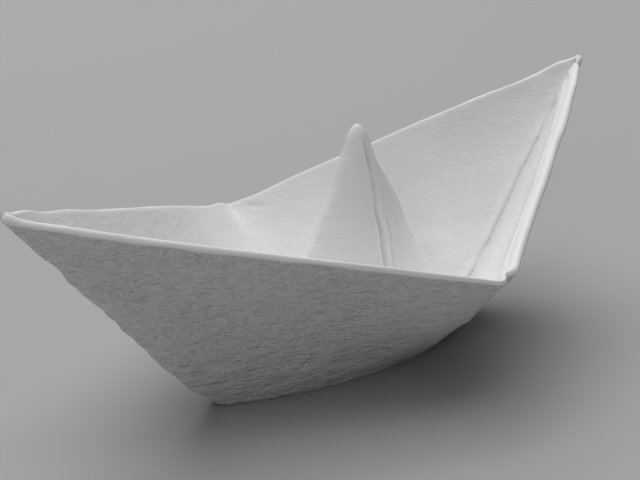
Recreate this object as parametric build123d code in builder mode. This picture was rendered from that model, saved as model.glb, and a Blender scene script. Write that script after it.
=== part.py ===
"""Folded paper boat: one sheet, folded into a double-ended hull with a hollow peak amidships.

Millimetres. +X runs along the boat from bow to stern, +Z is up, and Z = 0 is the surface that the
two bottom folds stand on. The origin lies on that surface at the middle of the boat. The near wall
is the one at -Y and the far wall the one at +Y.

The sheet runs from the near rim down the near wall, turns up at the near bottom fold to the peak,
comes down the peak's other face, and turns up again to the far wall. The peak is open below,
between the bottom folds. A wall is several pressed layers of the sheet, made here as one wall of
their joint thickness, with a round bead along the rim where the sheet is folded over.
"""

import os
from math import hypot, sqrt

from build123d import *

os.makedirs("parts", exist_ok=True)

# ---------------------------------------------------------------- hull, over its outer faces
length = 178.0  # bow to stern, before the keel folds are rounded
beam = 102.0  # near wall to far wall, at the middle
bow_height = 58.5
stern_height = 62.5
near_rim_height = 33.4  # a rim is lowest at the middle
far_rim_height = 29.8
bow_foot = 43.0  # from the middle to where the bow's keel fold comes down to the bottom
stern_foot = 41.5
floor_beam = 32.0  # across the two bottom folds, at the middle

# ---------------------------------------------------------------- sheet
wall = 1.3  # pressed layers of one wall
keel_fold = 1.2  # outer radius of the bow's and the stern's keel folds
bead_proud = 0.1  # how far the folded rim's bead stands out from the wall on each side
knot_proud = 0.15  # how much rounder it is at the tips and at the middle of each side
fold_height = 0.6  # the bottom folds are pressed flat below this height
fold_bevel = 0.8  # how far they draw in over it

# ---------------------------------------------------------------- peak, over its outer faces
peak_height = 60.5
peak_lap = 0.35  # how far the peak's foot stands inside the hull's wall at the bottom folds
crease = 0.7  # radius along the peak's bow and stern folds
shoulder_height = 30.0  # where the peak is pinched, about half-way up
shoulder_bow = 15.0
shoulder_stern = 19.0
shoulder_half_width = 9.2
shoulder_lean = -2.0  # the peak leans to the near side, the more the higher
neck_height = 50.0
neck_half_length = 7.2
neck_half_width = 4.8
neck_lean = -3.6
tip_radius = 2.6  # the tip is round
tip_half_length = 3.1  # where the round tip starts
tip_lean = -4.4

# ---------------------------------------------------------------- slits and notch
slit_width = 0.5  # on each face of the peak two folded flaps meet at a slit
slit_depth = 0.6
slit_foot = 4.0  # height of the slit's lower end
notch_width = 3.4  # at the middle of the far rim, where the folded rim is split
notch_depth = 1.2

# ---------------------------------------------------------------- worked out
half_floor = floor_beam / 2
rim_bead = wall / 2 + bead_proud
corner_bead = rim_bead + knot_proud
tip_centre = peak_height - tip_radius

# A leaning wall is wider across the level than through its thickness.
floor_inset = wall * hypot(beam / 2 - half_floor, near_rim_height) / near_rim_height
rim_inset = wall * 1.03
peak_inset = floor_inset + peak_lap - wall

bow_tip = Vector(-length / 2, 0, bow_height)
stern_tip = Vector(length / 2, 0, stern_height)
near_middle = Vector(0, -beam / 2, near_rim_height)
far_middle = Vector(0, beam / 2, far_rim_height)


def drawn_in(reach: float, half_width: float, inset: float) -> float:
    """How far a curved fold still reaches after it is drawn in: an arc that starts square to the
    cross line at the half width and comes down to the middle line at the reach."""
    radius = (reach**2 + half_width**2) / (2 * half_width)
    return sqrt((radius - inset) ** 2 - (radius - half_width) ** 2)


def rim_triangle(tip: Vector, inset: float) -> list[Vector]:
    """Corners of one end's rim, near middle, tip and far middle, with both walls drawn in."""
    across = far_middle - near_middle
    near_rim = tip - near_middle
    far_rim = tip - far_middle
    near_shift = inset * near_rim.length / near_rim.cross(across).length
    far_shift = inset * far_rim.length / far_rim.cross(across).length
    near = near_middle + across * near_shift
    return [near, near + near_rim * (1 - near_shift - far_shift), far_middle - across * far_shift]


def lens(bow: float, stern: float, half_width: float, inset: float, fold: float) -> Sketch:
    """Outline of a near and a far curved face that meet at a fold at each end, drawn in."""
    bow_end = (-drawn_in(bow, half_width, inset), 0)
    stern_end = (drawn_in(stern, half_width, inset), 0)
    near = (0, inset - half_width)
    far = (0, half_width - inset)
    with BuildSketch() as outline:
        with BuildLine():
            TangentArc(near, stern_end, tangent=(1, 0))
            TangentArc(far, stern_end, tangent=(1, 0))
            TangentArc(far, bow_end, tangent=(-1, 0))
            TangentArc(near, bow_end, tangent=(-1, 0))
        make_face()
        if fold:
            ends = outline.vertices().sort_by(Axis.X)
            fillet([ends[0], ends[-1]], radius=fold)
    return outline.sketch


# ---------------------------------------------------------------- hull
def hull_end(foot: float, tip: Vector, low_inset: float, high_inset: float, fold: float) -> Part:
    """The space inside one end's walls, from the bottom folds up to the rim's plane."""
    forward = 1 if tip.X > 0 else -1
    middle = (near_middle + far_middle) / 2
    upward = (tip - near_middle).cross(far_middle - near_middle) * forward
    rim = Plane(middle, x_dir=tip - middle, z_dir=upward)
    end = (forward * drawn_in(foot, half_floor, low_inset), 0)
    side = half_floor - low_inset
    with BuildPart() as space:
        with BuildSketch(Plane.XY.offset(fold_height)) as floor:
            with BuildLine():
                TangentArc((0, side), end, tangent=(forward, 0))
                TangentArc((0, -side), end, tangent=(forward, 0))
                Line((0, side), (0, -side))
            make_face()
            if fold:
                fillet(floor.vertices().sort_by(Axis.X)[-1 if forward > 0 else 0], radius=fold)
        with BuildSketch(rim) as top:
            corners = [rim.to_local_coords(corner) for corner in rim_triangle(tip, high_inset)]
            with BuildLine():
                Polyline(*corners, close=True)
            make_face()
            if fold:
                fillet(top.vertices().sort_by(Axis.X)[-1], radius=fold)
        loft(ruled=True)
    return space.part


with BuildPart() as hull:
    add(hull_end(stern_foot, stern_tip, 0, 0, keel_fold))
    add(hull_end(bow_foot, bow_tip, 0, 0, keel_fold))
    add(hull_end(stern_foot, stern_tip, floor_inset, rim_inset, 0), mode=Mode.SUBTRACT)
    add(hull_end(bow_foot, bow_tip, floor_inset, rim_inset, 0), mode=Mode.SUBTRACT)

# The underside of the bottom folds, drawn in to a narrower face that the boat stands on.
with BuildPart() as bottom:
    with BuildSketch(Plane.XY):
        add(lens(bow_foot, stern_foot, half_floor, fold_bevel, keel_fold))
    with BuildSketch(Plane.XY.offset(fold_height)):
        add(lens(bow_foot, stern_foot, half_floor, 0, keel_fold))
    loft(ruled=True)


# ---------------------------------------------------------------- folded rim
def rim_knot(index: int, tip: Vector) -> Vector:
    """A corner of the rim's middle line, half-way through the wall."""
    return (rim_triangle(tip, 0)[index] + rim_triangle(tip, rim_inset)[index]) / 2


rim_knots = [
    rim_knot(1, bow_tip),
    (rim_knot(0, bow_tip) + rim_knot(0, stern_tip)) / 2,
    rim_knot(1, stern_tip),
    (rim_knot(2, bow_tip) + rim_knot(2, stern_tip)) / 2,
]

with BuildPart() as bead:
    for start, end in zip(rim_knots, rim_knots[1:] + rim_knots[:1]):
        with BuildSketch(Plane(start, z_dir=end - start)):
            Circle(rim_bead)
        extrude(amount=(end - start).length)
        with Locations(start):
            Sphere(corner_bead)


# ---------------------------------------------------------------- peak
def peak_space(inset: float, foot_inset: float, fold: float) -> Part:
    """The space inside the peak's faces, drawn in from their outer sides and from the tip."""
    with BuildPart() as space:
        with BuildSketch(Plane.XY):
            add(lens(bow_foot, stern_foot, half_floor, foot_inset, fold))
        with BuildSketch(Plane((0, shoulder_lean, shoulder_height))):
            add(lens(shoulder_bow, shoulder_stern, shoulder_half_width, inset, fold))
        with BuildSketch(Plane((0, neck_lean, neck_height))):
            add(lens(neck_half_length, neck_half_length, neck_half_width, inset, fold))
        with BuildSketch(Plane((0, tip_lean, tip_centre - inset))):
            add(lens(tip_half_length, tip_half_length, tip_radius, inset, fold))
        loft()
    return space.part


with BuildPart() as peak:
    add(peak_space(0, peak_inset, crease))
    with Locations((0, tip_lean, tip_centre)):
        Sphere(tip_radius)

# The slits follow the peak's faces at one depth.
with BuildPart() as slits:
    with Locations((0, 0, (slit_foot + tip_centre) / 2)):
        Box(slit_width, beam, tip_centre - slit_foot)
    add(peak_space(0, peak_inset, crease), mode=Mode.INTERSECT)
    add(peak_space(slit_depth, peak_inset + slit_depth, 0), mode=Mode.SUBTRACT)

with BuildPart() as notch:
    notch_face = Plane(rim_knots[3] + Vector(0, 0, corner_bead), x_dir=(1, 0, 0), z_dir=(0, -1, 0))
    with BuildSketch(notch_face):
        with BuildLine():
            Polyline((-notch_width / 2, 0), (0, -notch_depth), (notch_width / 2, 0),
                     (0, notch_depth), close=True)
        make_face()
    extrude(amount=wall + corner_bead, both=True)


# ---------------------------------------------------------------- boat
with BuildPart() as boat:
    add([hull.part, bottom.part, peak.part, bead.part])
    add(peak_space(wall, peak_inset + wall, 0), mode=Mode.SUBTRACT)
    add(slits.part, mode=Mode.SUBTRACT)
    add(notch.part, mode=Mode.SUBTRACT)

boat.part.label = "folded_sheet"
export_step(boat.part, "parts/folded_sheet.step")
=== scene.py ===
"""Looks of the folded paper boat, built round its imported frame.

Metres, in the frame's own axes: +X runs from bow to stern, +Z is up, the near wall is at -Y and the
boat stands on Z = 0. The boat is one folded sheet, so it is one closed mesh. Its columns go once
round the boat, and its rows run from the peak's tip down the peak's outside, up the hull's inside,
over the rim, down the hull's outside, under the bottom fold and up the hollow inside the peak.

A place along a quarter of the boat is given as a share: 0 at the middle fold and 1 at the keel fold.
"""

from __future__ import annotations

import logging
import math
from dataclasses import dataclass, field
from enum import Enum

import bpy
import numpy as np
from mathutils import Matrix, Vector, noise

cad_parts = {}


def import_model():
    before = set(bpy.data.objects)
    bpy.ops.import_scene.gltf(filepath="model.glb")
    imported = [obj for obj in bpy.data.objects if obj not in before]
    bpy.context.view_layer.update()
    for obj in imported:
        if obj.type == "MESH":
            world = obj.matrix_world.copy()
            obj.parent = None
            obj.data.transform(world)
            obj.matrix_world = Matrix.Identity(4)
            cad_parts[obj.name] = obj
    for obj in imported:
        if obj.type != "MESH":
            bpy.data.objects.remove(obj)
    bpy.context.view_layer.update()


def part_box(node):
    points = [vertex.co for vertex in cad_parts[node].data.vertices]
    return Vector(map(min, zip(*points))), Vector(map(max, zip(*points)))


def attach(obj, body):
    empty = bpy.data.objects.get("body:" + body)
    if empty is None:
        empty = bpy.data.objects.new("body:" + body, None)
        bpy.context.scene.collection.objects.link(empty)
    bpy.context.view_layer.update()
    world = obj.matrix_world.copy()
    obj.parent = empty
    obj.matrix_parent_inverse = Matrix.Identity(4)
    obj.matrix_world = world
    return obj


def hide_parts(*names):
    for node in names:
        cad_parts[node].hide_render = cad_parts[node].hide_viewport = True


LOG = logging.getLogger("paper_boat")
NODE = "folded_sheet"
# name of the mask by which folds and the rim are painted lighter: wear and a painted highlight
FOLD_WEAR_HIGHLIGHT_MASK = "fold"
NOISE_GAIN = 1.6  # brings the noise's range to about -1 to 1
EVEN = math.inf  # a relief doesn't change along an axis with this wave length
LEAST_OVAL = 1e-5  # how much of an oval is left when it is drawn in
LEAST_LENGTH = 1e-12  # keeps a division from meeting nought
AWAY = 1.0  # farther off than any mark on the peak reaches
OUT_ALONG = 0.5  # level way out from a rim, along X and along Y
OUT_ACROSS = 0.87


class Side(Enum):
    """The two walls of the hull, by the sign of their Y."""

    NEAR = -1.0
    FAR = 1.0


class End(Enum):
    """The two ends of the boat, by the sign of their X."""

    BOW = -1.0
    STERN = 1.0


class Face(Enum):
    """The faces of the sheet that take a finish of their own, by material index."""

    OUTSIDE = 0
    INSIDE = 1
    FOLDED_EDGE = 2


# ---------------------------------------------------------------- lines and curves
def unit(vectors: np.ndarray) -> np.ndarray:
    """Vectors brought to a length of one.

    Args:
        vectors: Vectors in the last axis.

    Returns:
        The unit vectors, in the same order.
    """
    return vectors / np.maximum(np.linalg.norm(vectors, axis=-1, keepdims=True), LEAST_LENGTH)


def normals(points: np.ndarray) -> np.ndarray:
    """The way out of a surface that is closed round its columns.

    Args:
        points: The surface's points, by row and column.

    Returns:
        A unit vector for each point.
    """
    along = np.roll(points, -1, axis=1) - np.roll(points, 1, axis=1)
    return unit(np.cross(along, np.gradient(points, axis=0)))


def hump(at: np.ndarray, centre: float, half_width: float) -> np.ndarray:
    """A smooth hump of height one.

    Args:
        at: Where it is read.
        centre: Where its top is.
        half_width: How far it takes to fall to about a third.

    Returns:
        The height at each place.
    """
    return np.exp(-(((at - centre) / half_width) ** 2))


def ramp(at: np.ndarray, start: float, end: float) -> np.ndarray:
    """A smooth step from nought to one.

    Args:
        at: Where it is read.
        start: Where it is still nought.
        end: Where it is one, above the start or below it.

    Returns:
        The height at each place.
    """
    share = np.clip((at - start) / (end - start), 0.0, 1.0)
    return share * share * (3.0 - 2.0 * share)


def spread(rows: int, edges: bool) -> np.ndarray:
    """Even shares for a number of rows, as a column.

    Args:
        rows: How many there are.
        edges: True if the first and the last row stand at 0 and 1, and False if they stand inside.

    Returns:
        The shares.
    """
    shares = np.linspace(0.0, 1.0, rows) if edges else np.linspace(0.0, 1.0, rows + 2)[1:-1]
    return shares[:, None]


def smooth_through(knots: tuple[float, ...], values: tuple[float, ...], at: np.ndarray) -> np.ndarray:
    """A smooth line through points, with no overshoot between them.

    Args:
        knots: Where the points are, rising.
        values: The line's value at each of them.
        at: Where the line is read.

    Returns:
        The line's value at each place.
    """
    place, value = np.array(knots), np.array(values)
    step = np.diff(place)
    rise = np.diff(value) / step
    slope = np.concatenate([rise[:1], np.zeros(len(rise) - 1), rise[-1:]])
    both = rise[:-1] * rise[1:]
    steady = both > 0
    slope[1:-1][steady] = 2.0 * both[steady] / (rise[:-1] + rise[1:])[steady]
    index = np.clip(np.searchsorted(place, at) - 1, 0, len(step) - 1)
    share = (at - place[index]) / step[index]
    start, end = value[index], value[index + 1]
    bend = share * (1.0 - share) * step[index]
    return (
        start
        + (end - start) * share * share * (3.0 - 2.0 * share)
        + bend * ((1.0 - share) * slope[index] - share * slope[index + 1])
    )


def length_left(line: np.ndarray) -> np.ndarray:
    """How far each point of a line is from its last point, along the line.

    Args:
        line: The line's points.

    Returns:
        The length left at each of them.
    """
    steps = np.linalg.norm(np.diff(line, axis=0), axis=1)
    return np.append(np.cumsum(steps[::-1])[::-1], 0.0)


def folded_round(first: np.ndarray, second: np.ndarray, reach: float) -> tuple[np.ndarray, np.ndarray]:
    """Rounds the fold in which two lines meet at their last points.

    Args:
        first: Points of one line, up to the fold.
        second: Points of the other line, up to the same place.
        reach: How far from the fold the rounding starts.

    Returns:
        Both lines, as many points each, ending in the middle of the rounded fold.
    """
    lines = (first, second)
    left = [length_left(line) for line in lines]
    starts = [
        np.array([np.interp(reach, own[::-1], line[::-1, axis]) for axis in range(3)])
        for line, own in zip(lines, left)
    ]
    rounded = []
    for line, own, start, other_start in zip(lines, left, starts, starts[::-1]):
        share = (0.5 * (1.0 - np.clip(own / reach, 0.0, 1.0)))[:, None]
        curve = (1 - share) ** 2 * start + 2 * share * (1 - share) * first[-1] + share**2 * other_start
        rounded.append(np.where((own < reach)[:, None], curve, line))
    return rounded[0], rounded[1]


@dataclass(frozen=True)
class Bump:
    """A smooth bump across a line, or a dip if its height is below nought."""

    place: float
    half_width: float
    height: float

    def at(self, where: np.ndarray) -> np.ndarray:
        """Its height at each place along the line."""
        return self.height * hump(where, self.place, self.half_width)


@dataclass(frozen=True)
class Relief:
    """Smooth seeded unevenness over a surface."""

    depth: float
    size: tuple[float, float, float]  # length of one wave along X, Y and Z
    seed: float  # picks one pattern

    def at(self, points: np.ndarray) -> np.ndarray:
        """The unevenness at places on a surface.

        Args:
            points: The places, three numbers each in the last axis.

        Returns:
            Values from about -depth to depth, one for each place.
        """
        flat = (points / np.array(self.size)).reshape(-1, 3) + self.seed
        values = [noise.noise(Vector(place)) for place in flat]
        return self.depth * NOISE_GAIN * np.array(values).reshape(points.shape[:-1])


# ---------------------------------------------------------------- columns round the boat
@dataclass(frozen=True)
class Round:
    """The mesh's columns, once round the boat: bow, near wall, stern, far wall and back to the bow."""

    per_quarter: int = 100
    crowding: float = 0.62  # how much closer the columns stand at the folds

    def shares(self) -> np.ndarray:
        """Where a quarter's columns stand, from 0 at the middle fold to 1 at the keel fold."""
        even = np.linspace(0.0, 1.0, self.per_quarter + 1)
        return even - self.crowding * np.sin(2.0 * math.pi * even) / (2.0 * math.pi)

    def joined(self, quarters: dict[tuple[Side, End], np.ndarray]) -> np.ndarray:
        """Four quarters as one closed loop.

        Args:
            quarters: Each quarter's values from its middle fold to its keel fold.

        Returns:
            The values of all columns, with no column twice.
        """
        return np.concatenate(
            [
                quarters[Side.NEAR, End.BOW][:0:-1],
                quarters[Side.NEAR, End.STERN][:-1],
                quarters[Side.FAR, End.STERN][:0:-1],
                quarters[Side.FAR, End.BOW][:-1],
            ]
        )

    def share_of_columns(self) -> np.ndarray:
        """Each column's share of its quarter."""
        return self.joined({(side, end): self.shares() for side in Side for end in End})

    def sides(self) -> np.ndarray:
        """The sign of each column's side."""
        like = np.ones(self.per_quarter + 1)
        return self.joined({(side, end): side.value * like for side in Side for end in End})

    def ends(self) -> np.ndarray:
        """The sign of each column's end."""
        like = np.ones(self.per_quarter + 1)
        return self.joined({(side, end): end.value * like for side in Side for end in End})

    def within(self, side: Side, end: End) -> np.ndarray:
        """Which columns are in one quarter.

        Args:
            side: The quarter's side.
            end: The quarter's end.

        Returns:
            True for each column of the quarter.
        """
        return (self.sides() == side.value) & (self.ends() == end.value)


# ---------------------------------------------------------------- form of the sheet
@dataclass(frozen=True)
class LensQuarter:
    """A quarter of a pointed level oval: an arc that starts square to the cross line."""

    side: Side
    end: End
    reach: float  # how far from X = 0 the oval's point is
    half_width: float
    middle_x: float  # where the arc starts
    middle_y: float
    height: float

    def points(self, inset: float, shares: np.ndarray) -> np.ndarray:
        """Points from the widest place to the oval's point.

        Args:
            inset: How far the oval is drawn in.
            shares: Where the points stand.

        Returns:
            The points.
        """
        run = self.reach - self.end.value * self.middle_x
        radius = (run**2 + self.half_width**2) / (2.0 * self.half_width)
        drop = radius - self.half_width
        drawn = max(radius - inset, drop + LEAST_OVAL)
        turn = math.acos(drop / drawn) * shares
        return np.stack(
            [
                self.middle_x + self.end.value * drawn * np.sin(turn),
                self.middle_y + self.side.value * (drawn * np.cos(turn) - drop),
                np.full(len(shares), self.height),
            ],
            axis=1,
        )


@dataclass(frozen=True)
class HullForm:
    """Sizes of the hull, over its outer faces."""

    bow_end: float
    stern_end: float
    half_beam: float
    stern_height: float
    bow_height: float = 0.0577
    near_rim_height: float = 0.0317
    far_rim_height: float = 0.0291
    bow_turn: float = 0.0008  # how far the tips stand off the middle line, to the far side
    stern_turn: float = -0.0031
    near_shift: float = 0.0007  # how far the rims' middles stand out
    far_shift: float = -0.0009
    middle_skew: float = 0.0009  # how far the rims' middles stand towards the stern
    bow_foot: float = 0.0462  # from the middle to where a keel fold reaches the bottom
    stern_foot: float = 0.0415
    half_floor: float = 0.016
    fold_skew: float = 0.0075  # the hull is widest at the bottom nearer the stern
    wall: float = 0.0013
    bow_reach: float = 0.0009  # how far the rolled rim's tips stand out past the walls' ends
    stern_reach: float = 0.0015
    keel_reach: float = 0.0030  # how far from the tips the keel folds start to round
    inner_keel_reach: float = 0.0006
    floor_reach: float = 0.0060  # and at the bottom
    middle_reach: float = 0.0024  # and the rim's corners at the middle
    inner_middle_reach: float = 0.0012
    middle_bend: float = 0.0100  # the walls bend this softly at the middle, below the rim
    sharp_above: float = 0.72  # above this share of their height they bend more sharply
    # the keel folds are painted lighter: wear and a painted highlight
    keel_wear_highlight: Bump = Bump(1.0, 0.03, 1.0)
    hem: float = 0.0006  # how much thicker the wall's outer face is at the folded rim
    roll: float = 0.0016  # how far down the outer face the rim starts to roll over
    roll_unevenness: Relief = Relief(0.22, (0.009, 0.009, 0.009), 61.0)
    near_bow_roll: float = 0.35  # share by which it rolls further at the near wall's bow
    near_bow_roll_from: float = 0.35  # from this share of the rim
    near_bow_roll_full: float = 0.90
    inner_rise: float = 0.0008  # how full the rolled rim is on the inside, and on the outside
    outer_rise: float = 0.0012
    knot: Bump = Bump(1.0, 0.022, 1.4)  # share by which the rim is thicker at the tips
    foot_lift: Bump = Bump(1.0, 0.06, 0.0005)  # the bottom's two ends are rounded up
    floor_rise: float = 0.0009  # the bottom folds are flat below this
    floor_roundness: float = 0.8  # powers of the bottom fold's curve, across and down
    floor_fullness: float = 0.6
    # the bottom fold is painted lighter by this share: wear and a painted highlight
    floor_wear_highlight: float = 0.5
    near_stern_puff: float = 0.0016  # the near rim's stern half is folded loosely and stands out
    puff_start: tuple[float, float] = (0.022, 0.06)  # shares of the rim over which it starts
    puff_end: tuple[float, float] = (1.05, 0.6)  # and over which it ends
    puff_inside: float = 0.55  # share of it on the inner face

    @classmethod
    def from_box(cls, low: Vector, high: Vector) -> HullForm:
        """The hull that fills the frame's box.

        Args:
            low: The box's lowest corner.
            high: The box's highest corner.

        Returns:
            The hull's sizes.
        """
        return cls(
            bow_end=low.x,
            stern_end=high.x,
            half_beam=(high.y - low.y) / 2.0,
            stern_height=high.z,
        )

    def rim_run(self) -> float:
        """About how long half a rim is, from its middle to a tip."""
        return self.half_beam * 2.0

    def floor_quarter(self, side: Side, end: End, shares: np.ndarray) -> np.ndarray:
        """One quarter of the bottom fold's outer line.

        Args:
            side: The wall.
            end: The end of the boat.
            shares: Where the points stand.

        Returns:
            Points from the middle to the keel fold.
        """
        foot = self.bow_foot if end is End.BOW else self.stern_foot
        line = LensQuarter(side, end, foot, self.half_floor, self.fold_skew, 0.0, self.floor_rise)
        return line.points(0.0, shares)

    def rim_quarter(self, side: Side, end: End, inset: float, shares: np.ndarray) -> np.ndarray:
        """One quarter of the rim, from the middle to the tip.

        Args:
            side: The wall.
            end: The end of the boat.
            inset: How far it is drawn in, through the wall.
            shares: Where the points stand.

        Returns:
            Points along it.
        """
        at_bow, near = end is End.BOW, side is Side.NEAR
        half_length = abs(self.bow_end if at_bow else self.stern_end)
        rounding = self.keel_reach * half_length / (2.0 * math.hypot(half_length, self.half_beam))
        run = half_length + rounding + (self.bow_reach if at_bow else self.stern_reach)
        slant = math.hypot(run, self.half_beam)
        out = self.half_beam + (self.near_shift if near else self.far_shift) - inset * slant / run
        middle_height = self.near_rim_height if near else self.far_rim_height
        tip_height = self.bow_height if at_bow else self.stern_height
        drawn = inset * slant / self.half_beam
        turn = self.bow_turn if at_bow else self.stern_turn
        tip_height -= (tip_height - middle_height) * drawn / run
        middle = np.array([self.middle_skew, side.value * out, middle_height])
        tip = np.array([end.value * (run - drawn), turn, tip_height])
        points = middle + (tip - middle) * shares[:, None]
        if near and not at_bow:
            puff = self.near_stern_puff * ramp(shares, *self.puff_start) * ramp(shares, *self.puff_end)
            puff = puff * (self.puff_inside if inset > 0 else 1.0)
            points += puff[:, None] * np.array([OUT_ALONG, -OUT_ACROSS, 0.0])
        return points


@dataclass(frozen=True)
class PeakForm:
    """Sizes of the peak over its outer faces, at rising heights."""

    heights: tuple[float, ...] = (0.0, 0.030, 0.040, 0.046, 0.0516, 0.0545)
    bow_reach: tuple[float, ...] = (0.0416, 0.0147, 0.0088, 0.0058, 0.0038, 0.0026)
    stern_reach: tuple[float, ...] = (0.0410, 0.0208, 0.0152, 0.0106, 0.0062, 0.0048)
    half_width: tuple[float, ...] = (0.01507, 0.0090, 0.0070, 0.0058, 0.0043, 0.0034)
    lean: tuple[float, ...] = (0.0, -0.0020, -0.0029, -0.0037, -0.0045, -0.0049)
    fold_line: tuple[float, ...] = (0.0036, 0.0030, 0.0024, 0.0019, 0.0014, 0.0012)
    tip_rise: float = 0.0060  # how far the round tip stands above the last of the heights
    crease_reach: float = 0.0013  # how far from the bow and stern folds they start to round
    hollow_crease_reach: float = 0.00065
    # the peak's folds, the slit and the tip are painted lighter: wear and a painted highlight
    crease_wear_highlight: Bump = Bump(1.0, 0.05, 0.5)
    slit_wear_highlight: Bump = Bump(0.0, 0.03, 0.5)
    tip_wear_highlight: float = 0.3

    def read(self, values: tuple[float, ...], height: float) -> float:
        """One of the sizes at a height between those given.

        Args:
            values: The size at each of the given heights.
            height: The height.

        Returns:
            The size.
        """
        return float(smooth_through(self.heights, values, np.array([height]))[0])

    def quarter(self, side: Side, end: End, height: float, inset: float, shares: np.ndarray) -> np.ndarray:
        """One quarter of the peak's level outline, from the middle fold to the end fold.

        Args:
            side: Its near or far face.
            end: Its bow or stern end.
            height: Height of the outline.
            inset: How far it is drawn in.
            shares: Where the points stand.

        Returns:
            Points along it.
        """
        outline = LensQuarter(
            side,
            end,
            reach=self.read(self.bow_reach if end is End.BOW else self.stern_reach, height),
            half_width=self.read(self.half_width, height),
            middle_x=self.read(self.fold_line, height),
            middle_y=self.read(self.lean, height),
            height=height,
        )
        return outline.points(inset, shares)


# ---------------------------------------------------------------- handling
@dataclass(frozen=True)
class WallSwell:
    """How handling swells the hull's walls and keels, over shares of their height."""

    belly: float = 0.0015  # how far a wall swells out
    belly_power: float = 1.2
    waves: Relief = Relief(0.00030, (0.020, 0.020, 0.012), 3.7)
    waves_power: float = 0.5
    calm_at_keel: float = 0.7  # share of the waves that is lost towards a keel
    keel: float = 0.0003  # how far a keel bows out over its whole height
    keel_power: float = 0.5
    forefoot: Bump = Bump(0.22, 0.25, 0.0012)  # and just above the bottom
    forefoot_start: float = 0.10  # share of the height over which that starts
    keel_end: float = 0.06  # share of the height, below the rim, over which a keel's bow ends
    keel_out: float = 0.8  # the way a keel bows: out along X, and down
    keel_down: float = 0.6


@dataclass(frozen=True)
class Kink:
    """A place where one quarter of the rim leaves its line."""

    side: Side
    end: End
    share: float  # where it is along the quarter, and how wide it is, both as shares
    half_width: float
    up: float = 0.0  # how far the rim stands up and out there
    out: float = 0.0


@dataclass(frozen=True)
class RimWear:
    """The small waves and kinks of the rim's folded edge."""

    rise: Relief = Relief(0.0002, (0.022, 0.022, 0.022), 11.3)
    stray: Relief = Relief(0.0002, (0.017, 0.017, 0.017), 5.1)
    straight_from: float = 0.9  # from this share of the rim the waves fade towards the tip
    kinks: tuple[Kink, ...] = (
        Kink(Side.NEAR, End.STERN, 0.962, 0.012, out=-0.0006),
        Kink(Side.NEAR, End.STERN, 0.030, 0.010, out=-0.0006),
        Kink(Side.FAR, End.STERN, 0.935, 0.045, up=0.0011),
        Kink(Side.FAR, End.STERN, 0.72, 0.22, up=0.0006),
        Kink(Side.FAR, End.BOW, 0.82, 0.13, up=0.0008),
        Kink(Side.FAR, End.BOW, 0.94, 0.045, up=0.0010),
    )
    far_arch: float = 0.0004  # how far each half of the far rim arches up
    near_bow_sag: float = 0.0003
    far_nicks: tuple[Bump, ...] = (  # along the far rim, from its middle towards the stern
        Bump(-0.0150, 0.0060, -0.00035),
        Bump(-0.0050, 0.0032, 0.00042),
        Bump(0.0090, 0.0070, -0.00063),
    )
    fade_power: float = 3.0  # how fast all of it fades down the walls


@dataclass(frozen=True)
class Slit:
    """The slit where two flaps meet on each face of the peak, with the flaps' edges beside it.

    Distances along X are from the slit, towards the stern.
    """

    depth: float = 0.0012
    half_width: float = 0.0007
    foot: tuple[float, float] = (0.0035, 0.006)  # heights between which it starts
    top: tuple[float, float] = (0.0575, 0.0535)  # and between which it ends
    waver: Relief = Relief(0.00035, (EVEN, EVEN, 0.006), 71.0)
    unevenness: Relief = Relief(0.35, (EVEN, EVEN, 0.0045), 81.0)
    lip: Bump = Bump(0.00115, 0.00042, 0.00032)  # the raised edge on both sides of it
    upper_lip: float = 0.35  # share of the lip that stands over all its height
    lower_lip: float = 0.35  # and the share that stands only beside the loose edge
    loose_edge: tuple[Bump, ...] = (
        Bump(0.0018, 0.0007, 0.00048),
        Bump(0.0030, 0.0004, -0.00060),
        Bump(0.0040, 0.0006, 0.00036),
    )
    loose_top: tuple[float, float] = (0.0375, 0.0355)  # heights between which the loose edge ends
    dent_depth: float = 0.0006  # one flap is dented beside the loose edge's top
    dent_place: float = 0.0055
    dent_height: float = 0.0362
    dent_length: tuple[float, float] = (0.0020, 0.0012)  # half of its length, outer and flat
    dent_rise: tuple[float, float] = (0.0030, 0.0018)  # half of its height, outer and flat
    # the slit's raised lips are painted lighter: wear and a painted highlight
    wear_highlight: Bump = Bump(0.0011, 0.0006, 0.8)


@dataclass(frozen=True)
class SternKeel:
    """The far wall's inner edge, which laps over the near wall's in the stern's keel."""

    lip: Bump = Bump(0.0020, 0.0015, 0.0010)  # across the keel
    lip_lift: float = 0.6  # how much it rises for each metre that it stands out
    unevenness: Relief = Relief(0.5, (EVEN, EVEN, 0.005), 91.0)
    start: tuple[float, float] = (0.02, 0.10)  # shares of the height over which it starts
    end: tuple[float, float] = (1.0, 0.55)  # and over which it ends
    width_at_foot: float = 0.45  # the keel's width at its foot, as a share of that at the rim


@dataclass(frozen=True)
class Hem:
    """The hem of the sheet inside the near wall's stern half, by shares of the wall's height."""

    step: float = 0.0006  # how far it stands out
    edge: float = 0.84
    edge_waver: Relief = Relief(0.012, (0.012, EVEN, EVEN), 95.0)
    edge_width: float = 0.025
    groove: Bump = Bump(0.966, 0.011, 0.0008)  # the groove under the rolled rim
    from_middle: tuple[float, float] = (0.02, 0.10)  # shares of the rim over which the hem starts
    up: float = 0.5  # how much it rises for each metre that it stands out


@dataclass(frozen=True)
class Pinch:
    """A small crease pinched into the far wall's inner face, below the far rim's middle."""

    across: Bump = Bump(0.0030, 0.0013, 0.0007)
    height: Bump = Bump(0.945, 0.035, 1.0)
    slant: float = 0.06  # how far it runs to the stern over the wall's whole height


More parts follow.
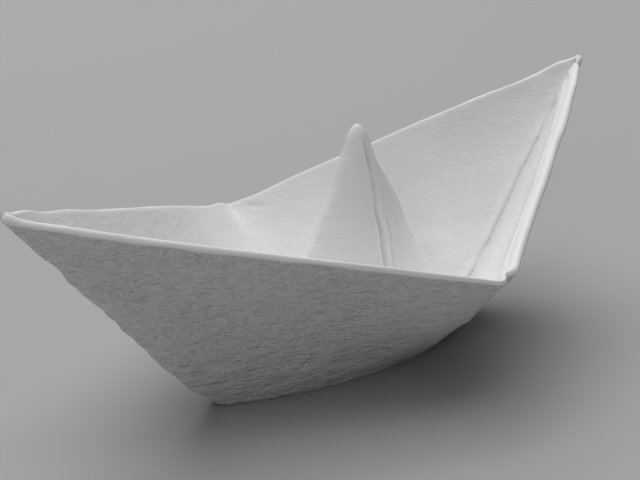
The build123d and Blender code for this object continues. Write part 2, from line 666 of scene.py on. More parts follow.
@dataclass(frozen=True)
class Crumple:
    """Fine wrinkles: level ones outside, and small ones inside and on the peak."""

    outside: Relief = Relief(0.00036, (0.0065, 0.0065, 0.0030), 21.0)
    inside: Relief = Relief(0.00009, (0.011, 0.011, 0.006), 31.0)
    on_peak: Relief = Relief(0.00009, (0.005, 0.005, 0.006), 41.0)
    edge: float = 0.05  # share of a face's height over which they fade at its edges
    patch_place: float = 0.044  # the far wall's inner foot is more wrinkled, at this X
    patch_length: tuple[float, float] = (0.014, 0.006)  # half of the patch's length, outer and flat
    patch: Bump = Bump(0.20, 0.16, 4.0)  # by share of the wall's height


# ---------------------------------------------------------------- the boat
@dataclass
class Rows:
    """Rows of the mesh that belong together: their points, their finish and how much lighter their folds
    are painted, as wear and painted highlight.
    """

    points: np.ndarray
    face: Face
    wear_highlight: np.ndarray


@dataclass
class FoldedSheet:
    """The whole boat: one sheet, as one closed mesh."""

    hull: HullForm
    peak: PeakForm = field(default_factory=PeakForm)
    swelling: WallSwell = field(default_factory=WallSwell)
    rim_wear: RimWear = field(default_factory=RimWear)
    slit: Slit = field(default_factory=Slit)
    stern_keel: SternKeel = field(default_factory=SternKeel)
    hem: Hem = field(default_factory=Hem)
    pinch: Pinch = field(default_factory=Pinch)
    wrinkles: Crumple = field(default_factory=Crumple)
    columns: Round = field(default_factory=Round)
    trench_height: float = 0.00135  # where the hull's inside meets the peak's foot
    wall_rows: int = 54
    wall_crowding: float = 0.08  # how much closer the rows stand at a wall's edges
    peak_rows: int = 62
    peak_crowding: float = 0.15  # how much closer they stand at the peak's foot
    hollow_rows: int = 36
    hollow_roof: tuple[float, ...] = (0.7, 0.35)  # shares of the hollow's top line, towards its pole
    hollow_roof_rise: float = 0.5  # how far the roof rises, in walls, and its pole above that
    hollow_pole_rise: float = 0.15
    tip_rows: int = 8
    bead_rows: int = 11
    floor_fold_rows: int = 6
    sharp_angle: float = 55.0  # degrees between faces above which an edge is sharp

    # ------------------------------------------------ loops round the boat
    def closed(self, quarters: dict[tuple[Side, End], np.ndarray], reach: float) -> np.ndarray:
        """Quarters joined to a loop, with the folds at both ends rounded.

        Args:
            quarters: Points of each quarter.
            reach: How far from the folds the rounding starts.

        Returns:
            A point for each column.
        """
        for end in End:
            near, far = folded_round(quarters[Side.NEAR, end], quarters[Side.FAR, end], reach)
            quarters[Side.NEAR, end], quarters[Side.FAR, end] = near, far
        return self.columns.joined(quarters)

    def rim_loop(self, inset: float, reach: float, middle: float) -> np.ndarray:
        """The rim's line round the boat.

        Args:
            inset: How far it is drawn in, through the wall.
            reach: How far from the tips it starts to round.
            middle: How far from the middle corners it starts to round.

        Returns:
            A point for each column.
        """
        shares = self.columns.shares()
        quarters = {}
        for side in Side:
            bow, stern = (self.hull.rim_quarter(side, end, inset, shares)[::-1] for end in End)
            bow, stern = folded_round(bow, stern, middle)
            quarters[side, End.BOW], quarters[side, End.STERN] = bow[::-1], stern[::-1]
        return self.closed(quarters, reach)

    def floor_loop(self) -> np.ndarray:
        """The bottom fold's outer line round the boat.

        Returns:
            A point for each column.
        """
        shares = self.columns.shares()
        quarters = {(side, end): self.hull.floor_quarter(side, end, shares) for side in Side for end in End}
        loop = self.closed(quarters, self.hull.floor_reach)
        loop[:, 2] += self.hull.foot_lift.at(self.columns.share_of_columns())
        return loop

    def peak_loop(self, height: float, inset: float) -> np.ndarray:
        """A level line round the peak.

        Args:
            height: Its height.
            inset: How far it is drawn in from the peak's outer faces.

        Returns:
            A point for each column.
        """
        shares = self.columns.shares()
        quarters = {
            (side, end): self.peak.quarter(side, end, height, inset, shares)
            for side in Side
            for end in End
        }
        return self.closed(quarters, self.peak.hollow_crease_reach if inset else self.peak.crease_reach)

    # ------------------------------------------------ groups of rows
    def peak_outside(self) -> Rows:
        """The peak's outer faces.

        Returns:
            Rows from under the tip's pole down to the trench, where the hull's inside starts.
        """
        peak = self.peak
        top = peak.heights[-1]
        loop = self.peak_loop(top, 0.0)
        centre = loop.mean(axis=0)
        rows = []
        for turn in np.linspace(math.pi / 2, 0.0, self.tip_rows + 1)[1:-1]:
            ring = centre + (loop - centre) * math.cos(turn)
            ring[:, 2] = top + peak.tip_rise * math.sin(turn) ** 2
            rows.append(ring)
        down = np.linspace(0.0, 1.0, self.peak_rows)
        down = down + self.peak_crowding * np.sin(math.pi * down) / math.pi
        rows += [self.peak_loop(top + (self.trench_height - top) * share, 0.0) for share in down]
        share = self.columns.share_of_columns()
        wear_highlight = np.maximum(peak.crease_wear_highlight.at(share), peak.slit_wear_highlight.at(share))
        return Rows(np.array(rows), Face.INSIDE, np.tile(wear_highlight, (len(rows), 1)))

    def wall_between(self, bottom: np.ndarray, top: np.ndarray, soft_top: np.ndarray, face: Face) -> Rows:
        """A flat hull wall between two loops.

        Args:
            bottom: The lower loop.
            top: The upper loop.
            soft_top: The upper loop as it would be with softly bent corners at the middle.
            face: Its finish.

        Returns:
            Rows from the bottom up, with the two loops themselves left out.
        """
        height = spread(self.wall_rows, edges=False)[..., None]
        height = height - self.wall_crowding * np.sin(2 * math.pi * height) / (2 * math.pi)
        points = bottom + (top - bottom) * height
        points += (soft_top - top) * height * ramp(height, 1.0, self.hull.sharp_above)
        wear_highlight = self.hull.keel_wear_highlight.at(self.columns.share_of_columns())
        return Rows(points, face, np.tile(wear_highlight, (len(points), 1)))

    def bead(self, outer: np.ndarray, inner: np.ndarray, up_inside: np.ndarray) -> Rows:
        """The rolled rim over the wall's top, full and upright on the outside.

        Args:
            outer: The wall's outer top line.
            inner: The wall's inner top line.
            up_inside: The way up the wall, one unit long, at each column.

        Returns:
            Rows from the inner line over to the outer one, both included.
        """
        rows = []
        middle = (outer + inner) / 2
        inner_lift = inner + up_inside * self.hull.inner_rise
        outer_lift = outer + np.array([0.0, 0.0, self.hull.outer_rise])
        knot = self.hull.knot.at(self.columns.share_of_columns())[:, None]
        for over in np.linspace(0.0, 1.0, self.bead_rows):
            ring = (
                (1 - over) ** 3 * inner
                + 3 * (1 - over) ** 2 * over * inner_lift
                + 3 * (1 - over) * over**2 * outer_lift
                + over**3 * outer
            )
            rows.append(ring + (ring - middle) * knot * math.sin(math.pi * over))
        points = np.array(rows)
        # the whole rim is painted lighter: wear and a painted highlight
        return Rows(points, Face.FOLDED_EDGE, np.ones(points.shape[:2]))

    def bottom_fold(self, outer: np.ndarray, hollow: np.ndarray) -> Rows:
        """The bottom fold that the boat stands on.

        Args:
            outer: The hull's outer bottom line.
            hollow: The lowest line of the hollow in the peak.

        Returns:
            Rows from the outer line under to the hollow's, both included.
        """
        hull, rows = self.hull, []
        middle, half = (outer + hollow) / 2, (outer - hollow) / 2
        for turn in np.linspace(0.0, math.pi, self.floor_fold_rows):
            across = math.copysign(abs(math.cos(turn)) ** hull.floor_roundness, math.cos(turn))
            ring = middle + half * across
            ring[:, 2] -= hull.floor_rise * math.sin(turn) ** hull.floor_fullness
            rows.append(ring)
        rows[-1] = hollow
        points = np.array(rows)
        return Rows(points, Face.OUTSIDE, np.full(points.shape[:2], hull.floor_wear_highlight))

    def hollow_inside(self) -> Rows:
        """The hollow inside the peak.

        Returns:
            Rows from the bottom fold up to under the hollow's pole.
        """
        wall, foot = self.hull.wall, self.hull.floor_rise
        top = self.peak.heights[-1] - wall
        up = np.linspace(0.0, 1.0, self.hollow_rows + 1)[1:]
        rows = [self.peak_loop(foot + (top - foot) * share, wall) for share in up]
        last = rows[-1]
        centre = last.mean(axis=0)
        for share in self.hollow_roof:
            ring = centre + (last - centre) * share
            ring[:, 2] += (1.0 - share) * wall * self.hollow_roof_rise
            rows.append(ring)
        points = np.array(rows)
        return Rows(points, Face.OUTSIDE, np.zeros(points.shape[:2]))

    # ------------------------------------------------ handling
    def swell(self, inner: Rows, outer: Rows) -> None:
        """Bellies both faces of the hull's walls out together, and bows the keels below the tips.

        Args:
            inner: The hull's inner faces.
            outer: The hull's outer faces.
        """
        form, share = self.swelling, self.columns.share_of_columns()
        height = spread(len(outer.points), edges=False)
        bulge = np.sin(math.pi * height)
        belly = form.belly * bulge**form.belly_power * (1.0 - share**4)
        waves = form.waves.at(outer.points) * bulge**form.waves_power * (1.0 - form.calm_at_keel * share**6)
        forefoot = form.forefoot.at(height) * ramp(height, 0.0, form.forefoot_start)
        bow_out = form.keel * bulge**form.keel_power + forefoot
        bow_out = bow_out * ramp(1.0 - height, 0.0, form.keel_end) * share**5
        keel = np.zeros_like(outer.points)
        keel[..., 0] = self.columns.ends() * form.keel_out
        keel[..., 2] = -form.keel_down
        move = normals(outer.points) * (belly + waves)[..., None] + keel * bow_out[..., None]
        outer.points += move
        inner.points += move

    def lap_keel(self, inner: Rows) -> None:
        """Lays the far wall's inner edge over the near wall's in the stern's keel.

        Args:
            inner: The hull's inner faces.
        """
        form, share = self.stern_keel, self.columns.share_of_columns()
        height = spread(len(inner.points), edges=True)
        width = form.width_at_foot + (1.0 - form.width_at_foot) * height
        off = (1.0 - share) * self.hull.rim_run() * width
        fade = ramp(height, *form.start) * ramp(height, *form.end)
        fade = fade * (1.0 + form.unevenness.at(inner.points)) * self.columns.within(Side.FAR, End.STERN)
        lip = form.lip.at(off) * fade
        inner.points[..., 1] -= lip
        inner.points[..., 2] += lip * form.lip_lift

    def step_hem(self, inner: Rows) -> None:
        """Raises the hem inside the near wall's stern half, and cuts the groove under the rim.

        Args:
            inner: The hull's inner faces.
        """
        form, share = self.hem, self.columns.share_of_columns()
        height = spread(len(inner.points), edges=True)
        edge = form.edge + form.edge_waver.at(inner.points)
        step = form.step * ramp(height, edge, edge + form.edge_width) - form.groove.at(height)
        step = step * self.columns.within(Side.NEAR, End.STERN) * ramp(share, *form.from_middle)
        inner.points += step[..., None] * np.array([-OUT_ALONG, OUT_ACROSS, form.up])

    def pinch_far_middle(self, inner: Rows) -> None:
        """Pinches the small crease into the far wall's inner face.

        Args:
            inner: The hull's inner faces.
        """
        form, share = self.pinch, self.columns.share_of_columns()
        height = spread(len(inner.points), edges=True)
        off = share * self.hull.rim_run() - form.slant * (1.0 - height)
        crease = form.across.at(off) * form.height.at(height) * self.columns.within(Side.FAR, End.STERN)
        inner.points[..., 1] += crease

    def wave_rim(self, inner: Rows, bead: Rows, outer: Rows) -> None:
        """Gives the rim the small waves and kinks of a folded edge, fading down the wall.

        Args:
            inner: The hull's inner faces.
            bead: The rim.
            outer: The hull's outer faces.
        """
        form, share = self.rim_wear, self.columns.share_of_columns()
        side, end = self.columns.sides(), self.columns.ends()
        line = bead.points[self.bead_rows // 2]
        still = ramp(share, 1.0, form.straight_from)
        lift, out = form.rise.at(line) * still, form.stray.at(line) * still
        for kink in form.kinks:
            shape = hump(share, kink.share, kink.half_width) * self.columns.within(kink.side, kink.end)
            lift += kink.up * shape
            out += kink.out * shape
        arch = form.far_arch * (side > 0) - form.near_bow_sag * self.columns.within(Side.NEAR, End.BOW)
        lift += np.sin(math.pi * share) * arch
        along = end * share * self.hull.rim_run()
        lift += (side > 0) * sum(nick.at(along) for nick in form.far_nicks)
        move = np.stack([end * OUT_ALONG * out, side * OUT_ACROSS * out, lift], axis=1)
        bead.points += move
        for rows in (inner, outer):
            fade = spread(len(rows.points), edges=False) ** form.fade_power
            rows.points += fade[..., None] * move

    def press_slits(self, rows: Rows) -> None:
        """Presses the slit between the two folded flaps into the peak's near and far faces.

        Args:
            rows: The peak's outer faces.
        """
        form, points = self.slit, rows.points
        height, share = points[..., 2], self.columns.share_of_columns()
        top = self.peak.heights[-1]
        line = smooth_through(self.peak.heights, self.peak.fold_line, np.clip(height, 0.0, top))
        off = points[..., 0] - line + form.waver.at(points)
        off = np.where(share < 0.5, off, AWAY)
        uneven = 1.0 + form.unevenness.at(points)
        reach = ramp(height, *form.foot) * ramp(height, *form.top)
        low = ramp(height, *form.loose_top)
        groove = -form.depth * uneven * np.exp(-((off / form.half_width) ** 4))
        lips = form.lip.at(np.abs(off)) * (form.upper_lip + form.lower_lip * low)
        loose = sum(mark.at(off) for mark in form.loose_edge) * low * uneven
        dent = ramp(np.abs(off - form.dent_place), *form.dent_length)
        dent = dent * ramp(np.abs(height - form.dent_height), *form.dent_rise) * form.dent_depth * uneven
        points[..., 1] += self.columns.sides() * ((groove + lips + loose) * reach - dent)
        # the slit's lips are painted lighter: wear and a painted highlight
        rows.wear_highlight = np.maximum(rows.wear_highlight, form.wear_highlight.at(np.abs(off)) * reach)

    def crumple(self, inner: Rows, outer: Rows, peak: Rows) -> None:
        """Adds the fine wrinkles.

        Args:
            inner: The hull's inner faces.
            outer: The hull's outer faces.
            peak: The peak's outer faces.
        """
        form = self.wrinkles
        for rows, wrinkles in ((outer, form.outside), (inner, form.inside), (peak, form.on_peak)):
            height = spread(len(rows.points), edges=True)
            depth = ramp(height, 0.0, form.edge) * ramp(height, 1.0, 1.0 - form.edge)
            if rows is inner:
                away = np.abs(rows.points[..., 0] - form.patch_place)
                patch = form.patch.at(height) * ramp(away, *form.patch_length)
                depth = depth * (1.0 + patch * (self.columns.sides() > 0))
            rows.points += normals(rows.points) * (depth * wrinkles.at(rows.points))[..., None]

    def roll_depth(self, rim: np.ndarray) -> np.ndarray:
        """How far down the outer face the rim rolls over: unevenly, and furthest at the near wall's bow.

        Args:
            rim: The rim's outer line.

        Returns:
            The depth at each column.
        """
        hull, share = self.hull, self.columns.share_of_columns()
        more = ramp(share, hull.near_bow_roll_from, hull.near_bow_roll_full) * hull.near_bow_roll
        more = more * self.columns.within(Side.NEAR, End.BOW)
        return hull.roll * (1.0 + hull.roll_unevenness.at(rim) + more)

    # ------------------------------------------------ mesh
    def all_rows(self) -> list[Rows]:
        """Forms the sheet and handles it.

        Returns:
            Every row of the mesh, from the peak's pole to the hollow's, in groups.
        """
        hull = self.hull
        rim_outer = self.rim_loop(-hull.hem, hull.keel_reach, hull.middle_reach)
        rim_inner = self.rim_loop(hull.wall, hull.inner_keel_reach, hull.inner_middle_reach)
        soft_outer = self.rim_loop(-hull.hem, hull.keel_reach, hull.middle_bend)
        soft_inner = self.rim_loop(hull.wall, hull.inner_keel_reach, hull.middle_bend)
        peak = self.peak_outside()
        floor = self.floor_loop()
        up = unit(rim_outer - floor)
        roll = up * self.roll_depth(rim_outer)[:, None]
        inner = self.wall_between(peak.points[-1], rim_inner, soft_inner, Face.INSIDE)
        bead = self.bead(rim_outer - roll, rim_inner, up)
        outer = self.wall_between(floor, rim_outer - roll, soft_outer - roll, Face.OUTSIDE)
        bottom = self.bottom_fold(floor, self.peak_loop(hull.floor_rise, hull.wall))
        self.swell(inner, outer)
        self.lap_keel(inner)
        self.step_hem(inner)
        self.pinch_far_middle(inner)
        self.wave_rim(inner, bead, outer)
        self.press_slits(peak)
        self.crumple(inner, outer, peak)
        downward = Rows(outer.points[::-1], outer.face, outer.wear_highlight[::-1])
        return [peak, inner, bead, downward, bottom, self.hollow_inside()]

    def build(self, name: str) -> bpy.types.Object:
        """Makes the mesh object.

        Args:
            name: The object's name.

        Returns:
            The object, linked to the scene.
        """
        groups = self.all_rows()
        points = np.concatenate([rows.points for rows in groups])
        row_count, column_count = points.shape[:2]
        tip = points[0].mean(axis=0)
        tip[2] = self.peak.heights[-1] + self.peak.tip_rise
        roof = points[-1].mean(axis=0) + np.array([0.0, 0.0, self.hull.wall * self.hollow_pole_rise])
        vertices = np.concatenate([points.reshape(-1, 3), [tip, roof]])
        here = np.arange(row_count * column_count).reshape(row_count, column_count)
        beside = np.roll(here, -1, axis=1)
        faces = np.stack([here[:-1], here[1:], beside[1:], beside[:-1]], axis=-1).reshape(-1, 4).tolist()
        faces += [[len(vertices) - 2, a, b] for a, b in zip(here[0], beside[0])]
        faces += [[len(vertices) - 1, b, a] for a, b in zip(here[-1], beside[-1])]
        mesh = bpy.data.meshes.new(name)
        mesh.from_pydata(vertices.tolist(), [], faces)
        finish = np.concatenate([np.full(len(rows.points), rows.face.value) for rows in groups])
        index = np.repeat(finish[1:], column_count).tolist()
        index += [Face.INSIDE.value] * column_count + [Face.OUTSIDE.value] * column_count
        mesh.polygons.foreach_set("material_index", index)
        # the mask by which folds and the rim are painted lighter: wear and a painted highlight
        wear_highlight = np.concatenate([rows.wear_highlight.ravel() for rows in groups] + [[self.peak.tip_wear_highlight, 0.0]])
        mask = mesh.attributes.new(FOLD_WEAR_HIGHLIGHT_MASK, "FLOAT", "POINT")
        mask.data.foreach_set("value", wear_highlight.astype(np.float32))
        mesh.validate()
        mesh.update()
        mesh.shade_smooth()
        mesh.set_sharp_from_angle(angle=math.radians(self.sharp_angle))
        boat = bpy.data.objects.new(name, mesh)
        bpy.context.scene.collection.objects.link(boat)
        return boat


# ---------------------------------------------------------------- node groups
@dataclass(frozen=True)
class NoiseLayer:
    """One layer of noise over the paper."""

    stretch: tuple[float, float, float]  # share by which each axis is scaled
    detail: float  # how many finer layers it has
    roughness: float  # how strong those are


FELT = NoiseLayer((1.0, 1.0, 1.0), 5.0, 0.6)
STRANDS = NoiseLayer((0.35, 1.0, 1.6), 2.0, 0.5)
CLOUDS = NoiseLayer((1.0, 1.0, 1.0), 4.0, 0.55)
LEVEL_FOLDS = NoiseLayer((0.5, 0.5, 1.3), 4.0, 0.62)
LEVEL_RIDGES = NoiseLayer((0.5, 0.5, 1.3), 2.0, 0.5)
PATCHES = NoiseLayer((1.0, 1.0, 1.0), 2.0, 0.5)
RUBS = NoiseLayer((1.0, 1.0, 1.0), 3.0, 0.6)


class GroupMaker:
    """Builds one shader node group with named inputs and outputs."""

    def __init__(self, name: str, inputs: dict[str, float], outputs: list[str]) -> None:
        """Starts the group.

        Args:
            name: The group's name.
            inputs: Its number inputs and their first values.
            outputs: Its number outputs.
        """
        self.tree = bpy.data.node_groups.new(name, "ShaderNodeTree")
        for label, value in inputs.items():
            socket = self.tree.interface.new_socket(label, in_out="INPUT", socket_type="NodeSocketFloat")
            socket.default_value = value
        for label in outputs:
            self.tree.interface.new_socket(label, in_out="OUTPUT", socket_type="NodeSocketFloat")
        self.given = self.tree.nodes.new("NodeGroupInput").outputs
        self.result = self.tree.nodes.new("NodeGroupOutput").inputs

    def feed(self, socket: bpy.types.NodeSocket, value: bpy.types.NodeSocket | float) -> None:
        """Links a socket to another, or sets its number.

        Args:
            socket: The socket that is fed.
            value: The other socket, or the number.
        """
        if isinstance(value, bpy.types.NodeSocket):
            self.tree.links.new(value, socket)
        else:
            socket.default_value = value

    def math(
        self,
        operation: str,
        first: bpy.types.NodeSocket | float,
        second: bpy.types.NodeSocket | float = 0.0,
    ) -> bpy.types.NodeSocket:
        """Adds a sum on two numbers.

        Args:
            operation: The sum's name.
            first: A socket or a number.
            second: A socket or a number.

        Returns:
            The result's socket.
        """
        made = self.tree.nodes.new("ShaderNodeMath")
        made.operation = operation
        for socket, value in zip(made.inputs, (first, second)):
            self.feed(socket, value)
        return made.outputs[0]

    def noise(self, layer: NoiseLayer, scale: bpy.types.NodeSocket) -> bpy.types.NodeSocket:
        """Adds a noise texture that stays in place on the object.

        Args:
            layer: Its form.
            scale: The socket that gives its waves in a metre.

        Returns:
            The noise's socket, from 0 to 1.
        """
        place = self.tree.nodes.new("ShaderNodeTexCoord")
        stretched = self.tree.nodes.new("ShaderNodeMapping")
        stretched.inputs["Scale"].default_value = layer.stretch
        self.tree.links.new(place.outputs["Object"], stretched.inputs["Vector"])
        made = self.tree.nodes.new("ShaderNodeTexNoise")
        made.inputs["Detail"].default_value = layer.detail
        made.inputs["Roughness"].default_value = layer.roughness
        self.tree.links.new(stretched.outputs["Vector"], made.inputs["Vector"])
        self.tree.links.new(scale, made.inputs["Scale"])
        return made.outputs["Fac"]

    def ridge(self, noise_socket: bpy.types.NodeSocket) -> bpy.types.NodeSocket:
        """Turns a noise into thin ridges where it crosses its middle.

        Args:
            noise_socket: The noise.

        Returns:
            The ridges' socket, nought along each ridge's line.
        """
        return self.math("ABSOLUTE", self.math("SUBTRACT", noise_socket, 0.5))


def paper_grain_group(strand_depth: float = 0.6) -> bpy.types.NodeTree:
    """Paper's own grain: the felt of its fibres as a height, and its cloudy density as a tone.

    Args:
        strand_depth: How deep single strands are, for a felt of depth one.

    Returns:
        The node group.
    """
    inputs = {"Fibres per Metre": 1500.0, "Clouds per Metre": 60.0}
    group = GroupMaker("paper_grain", inputs, ["Height", "Cloud"])
    felt = group.noise(FELT, group.given["Fibres per Metre"])
    strands = group.ridge(group.noise(STRANDS, group.given["Fibres per Metre"]))
    height = group.math("SUBTRACT", felt, group.math("MULTIPLY", strands, strand_depth))
    group.feed(group.result["Height"], height)
    group.feed(group.result["Cloud"], group.noise(CLOUDS, group.given["Clouds per Metre"]))
    return group.tree


def handled_creases_group(ridges_per_wrinkle: float = 1.7) -> bpy.types.NodeTree:
    """The short level wrinkles that handling presses into a folded wall.

    Args:
        ridges_per_wrinkle: How much finer the sharp ridges are than the wrinkles.

    Returns:
        The node group.
    """
    inputs = {"Wrinkles per Metre": 420.0, "Patches per Metre": 55.0}
    group = GroupMaker("handled_creases", inputs, ["Height"])
    wrinkles = group.noise(LEVEL_FOLDS, group.given["Wrinkles per Metre"])
    finer = group.math("MULTIPLY", group.given["Wrinkles per Metre"], ridges_per_wrinkle)
    ridges = group.ridge(group.noise(LEVEL_RIDGES, finer))
    patches = group.noise(PATCHES, group.given["Patches per Metre"])
    height = group.math("SUBTRACT", wrinkles, group.math("MULTIPLY", ridges, patches))
    group.feed(group.result["Height"], height)
    return group.tree


def fold_wear_highlight_group(least_rubs: float = 0.35) -> bpy.types.NodeTree:
    """Folds painted lighter, as wear and as a painted highlight, broken up so that it comes and goes.

    Args:
        least_rubs: How much of the lightening is left between the rubs.

    Returns:
        The node group.
    """
    group = GroupMaker("fold_wear_highlight", {"Rubs per Metre": 220.0, "Strength": 1.0}, ["Wear"])
    fold = group.tree.nodes.new("ShaderNodeAttribute")
    fold.attribute_name = FOLD_WEAR_HIGHLIGHT_MASK
    rubs = group.math("ADD", group.noise(RUBS, group.given["Rubs per Metre"]), least_rubs)
    broken = group.math("MULTIPLY", fold.outputs["Fac"], rubs)
    group.feed(group.result["Wear"], group.math("MULTIPLY", broken, group.given["Strength"]))
    return group.tree


# ---------------------------------------------------------------- finishes
@dataclass(frozen=True)
class PaperGroups:
    """The node groups that all the paper finishes share."""

    grain: bpy.types.NodeTree
    creases: bpy.types.NodeTree
    wear_highlight: bpy.types.NodeTree


@dataclass(frozen=True)
class PaperFinish:
    """Uncoated white paper, as on one of the sheet's faces."""

    name: str
    crease_depth: float
    wear_highlight_strength: float = 0.6
    shade: tuple[float, float, float] = (0.86, 0.857, 0.848)
    cloud_shade: tuple[float, float, float] = (0.82, 0.817, 0.808)
    # lighter shade on the folds and the rim: wear and a painted highlight
    worn_highlight_shade: tuple[float, float, float] = (0.89, 0.888, 0.88)
    least_roughness: float = 0.81
    most_roughness: float = 0.94
    sheen: float = 0.3
    grain_depth: float = 0.00005

    def material(self, groups: PaperGroups) -> bpy.types.Material:
        """Builds the finish.

        Args:
            groups: The shared node groups.

        Returns:
            The material.
        """
        made = bpy.data.materials.new(self.name)
        made.use_nodes = True
        nodes, links = made.node_tree.nodes, made.node_tree.links
        shader = nodes["Principled BSDF"]
        shader.inputs["Specular IOR Level"].default_value = self.sheen
        placed = {}
        for key in ("grain", "creases", "wear_highlight"):
            placed[key] = nodes.new("ShaderNodeGroup")
            placed[key].node_tree = getattr(groups, key)
        placed["wear_highlight"].inputs["Strength"].default_value = self.wear_highlight_strength

        clouds, worn_highlight_mix = nodes.new("ShaderNodeMix"), nodes.new("ShaderNodeMix")
        clouds.data_type = worn_highlight_mix.data_type = "RGBA"
        clouds.inputs["A"].default_value = (*self.shade, 1.0)
        clouds.inputs["B"].default_value = (*self.cloud_shade, 1.0)
        # folds and the rim are mixed towards the lighter shade: wear and a painted highlight
        worn_highlight_mix.inputs["B"].default_value = (*self.worn_highlight_shade, 1.0)
        links.new(placed["grain"].outputs["Cloud"], clouds.inputs["Factor"])
        links.new(placed["wear_highlight"].outputs["Wear"], worn_highlight_mix.inputs["Factor"])
        links.new(clouds.outputs["Result"], worn_highlight_mix.inputs["A"])
        links.new(worn_highlight_mix.outputs["Result"], shader.inputs["Base Color"])

        rough = nodes.new("ShaderNodeMapRange")
        rough.inputs["To Min"].default_value = self.least_roughness
        rough.inputs["To Max"].default_value = self.most_roughness
        links.new(placed["grain"].outputs["Cloud"], rough.inputs["Value"])
        links.new(rough.outputs["Result"], shader.inputs["Roughness"])

        crease_bump, grain_bump = nodes.new("ShaderNodeBump"), nodes.new("ShaderNodeBump")
        crease_bump.inputs["Distance"].default_value = self.crease_depth
        grain_bump.inputs["Distance"].default_value = self.grain_depth
        links.new(placed["creases"].outputs["Height"], crease_bump.inputs["Height"])
        links.new(placed["grain"].outputs["Height"], grain_bump.inputs["Height"])
        links.new(crease_bump.outputs["Normal"], grain_bump.inputs["Normal"])
        links.new(grain_bump.outputs["Normal"], shader.inputs["Normal"])
        return made


FINISHES = {
    Face.OUTSIDE: PaperFinish("wrinkled_paper", crease_depth=0.0034),
    Face.INSIDE: PaperFinish("smooth_paper", crease_depth=0.00032),
    # the rim is painted lighter at full strength: wear and a painted highlight
    Face.FOLDED_EDGE: PaperFinish("folded_paper_edge", crease_depth=0.00015, wear_highlight_strength=1.0),
}


# ---------------------------------------------------------------- studio
@dataclass(frozen=True)
class Softbox:
    """A square soft light."""

    name: str
    place: tuple[float, float, float]
    size: float  # length of its side
    power: float  # watts

    def hang(self, aim: Vector) -> None:
        """Hangs it.

        Args:
            aim: The point that it shines at.
        """
        lamp = bpy.data.lights.new(self.name, "AREA")
        lamp.shape, lamp.size, lamp.energy = "SQUARE", self.size, self.power
        light = bpy.data.objects.new(self.name, lamp)
        light.location = self.place
        light.rotation_mode = "QUATERNION"
        light.rotation_quaternion = (aim - Vector(self.place)).to_track_quat("-Z", "Y")
        bpy.context.scene.collection.objects.link(light)


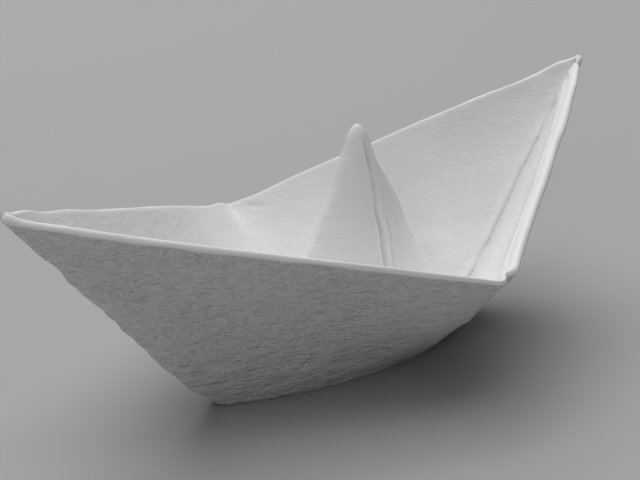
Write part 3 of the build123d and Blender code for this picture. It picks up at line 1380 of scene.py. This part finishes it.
@dataclass(frozen=True)
class Studio:
    """A plain pale floor, soft light mostly from above, and the camera."""

    azimuth: float = -40.76  # degrees round the boat from straight in front of the near wall
    elevation: float = 18.84
    roll: float = 2.42
    distance: float = 0.2981
    aim: tuple[float, float, float] = (-0.0079, 0.0, 0.0322)
    focal_length: float = 68.34
    sensor_width: float = 36.0
    nearest: float = 0.01  # what the camera sees starts and ends this far away
    farthest: float = 20.0
    floor_size: float = 12.0
    floor_shade: tuple[float, float, float] = (0.40, 0.40, 0.40)
    floor_roughness: float = 0.95
    room_light: float = 0.10
    softboxes: tuple[Softbox, ...] = (
        Softbox("overhead_softbox", (0.0, 0.25, 2.5), 2.5, 40.0),
        Softbox("front_softbox", (-0.6, -1.0, 2.5), 2.0, 5.5),
        Softbox("back_softbox", (0.75, 1.75, 2.25), 2.0, 33.0),
        Softbox("side_softbox", (-2.0, -1.3, 1.1), 0.5, 4.2),
    )

    def floor(self) -> bpy.types.Object:
        """The floor: a pale matte plane.

        Returns:
            The floor.
        """
        half = self.floor_size / 2
        mesh = bpy.data.meshes.new("studio_floor")
        corners = [(-half, -half, 0.0), (half, -half, 0.0), (half, half, 0.0), (-half, half, 0.0)]
        mesh.from_pydata(corners, [], [(0, 1, 2, 3)])
        made = bpy.data.materials.new("studio_floor")
        made.use_nodes = True
        shader = made.node_tree.nodes["Principled BSDF"]
        shader.inputs["Base Color"].default_value = (*self.floor_shade, 1.0)
        shader.inputs["Roughness"].default_value = self.floor_roughness
        mesh.materials.append(made)
        floor = bpy.data.objects.new("studio_floor", mesh)
        bpy.context.scene.collection.objects.link(floor)
        return floor

    def lights(self) -> None:
        """Hangs the lights and sets the room's own light."""
        for softbox in self.softboxes:
            softbox.hang(Vector(self.aim))
        room = bpy.data.worlds.new("studio_room")
        room.use_nodes = True
        background = room.node_tree.nodes["Background"]
        background.inputs["Color"].default_value = (1.0, 1.0, 1.0, 1.0)
        background.inputs["Strength"].default_value = self.room_light
        bpy.context.scene.world = room
        bpy.context.scene.view_settings.view_transform = "Standard"

    def camera(self) -> bpy.types.Object:
        """The scene's camera.

        Returns:
            The camera.
        """
        around, up = math.radians(self.azimuth), math.radians(self.elevation)
        tilt = math.radians(self.roll)
        back = Vector((math.sin(around) * math.cos(up), -math.cos(around) * math.cos(up), math.sin(up)))
        level = (-back).cross(Vector((0.0, 0.0, 1.0))).normalized()
        upward = back.cross(level)
        right = math.cos(tilt) * level - math.sin(tilt) * upward
        top = math.sin(tilt) * level + math.cos(tilt) * upward
        lens = bpy.data.cameras.new("camera")
        lens.lens, lens.sensor_width = self.focal_length, self.sensor_width
        lens.clip_start, lens.clip_end = self.nearest, self.farthest
        camera = bpy.data.objects.new("camera", lens)
        turn = Matrix((right, top, back)).transposed().to_4x4()
        camera.matrix_world = Matrix.Translation(Vector(self.aim) + back * self.distance) @ turn
        bpy.context.scene.collection.objects.link(camera)
        bpy.context.scene.camera = camera
        return camera


# ---------------------------------------------------------------- scene
def dress(boat: bpy.types.Object) -> None:
    """Gives the boat its three paper finishes.

    Args:
        boat: The boat's object.
    """
    groups = PaperGroups(paper_grain_group(), handled_creases_group(), fold_wear_highlight_group())
    for face in Face:
        boat.data.materials.append(FINISHES[face].material(groups))


def main() -> None:
    """Builds the boat round the frame, then the studio."""
    logging.basicConfig(level=logging.INFO, format="%(name)s: %(message)s")
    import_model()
    boat = FoldedSheet(HullForm.from_box(*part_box(NODE))).build("paper_boat")
    dress(boat)
    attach(boat, "root")
    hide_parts(NODE)
    LOG.info("%s: %d vertices, %d faces", boat.name, len(boat.data.vertices), len(boat.data.polygons))
    studio = Studio()
    LOG.info("%s laid", studio.floor().name)
    studio.lights()
    LOG.info("%s set", studio.camera().name)


if __name__ == "__main__":
    main()
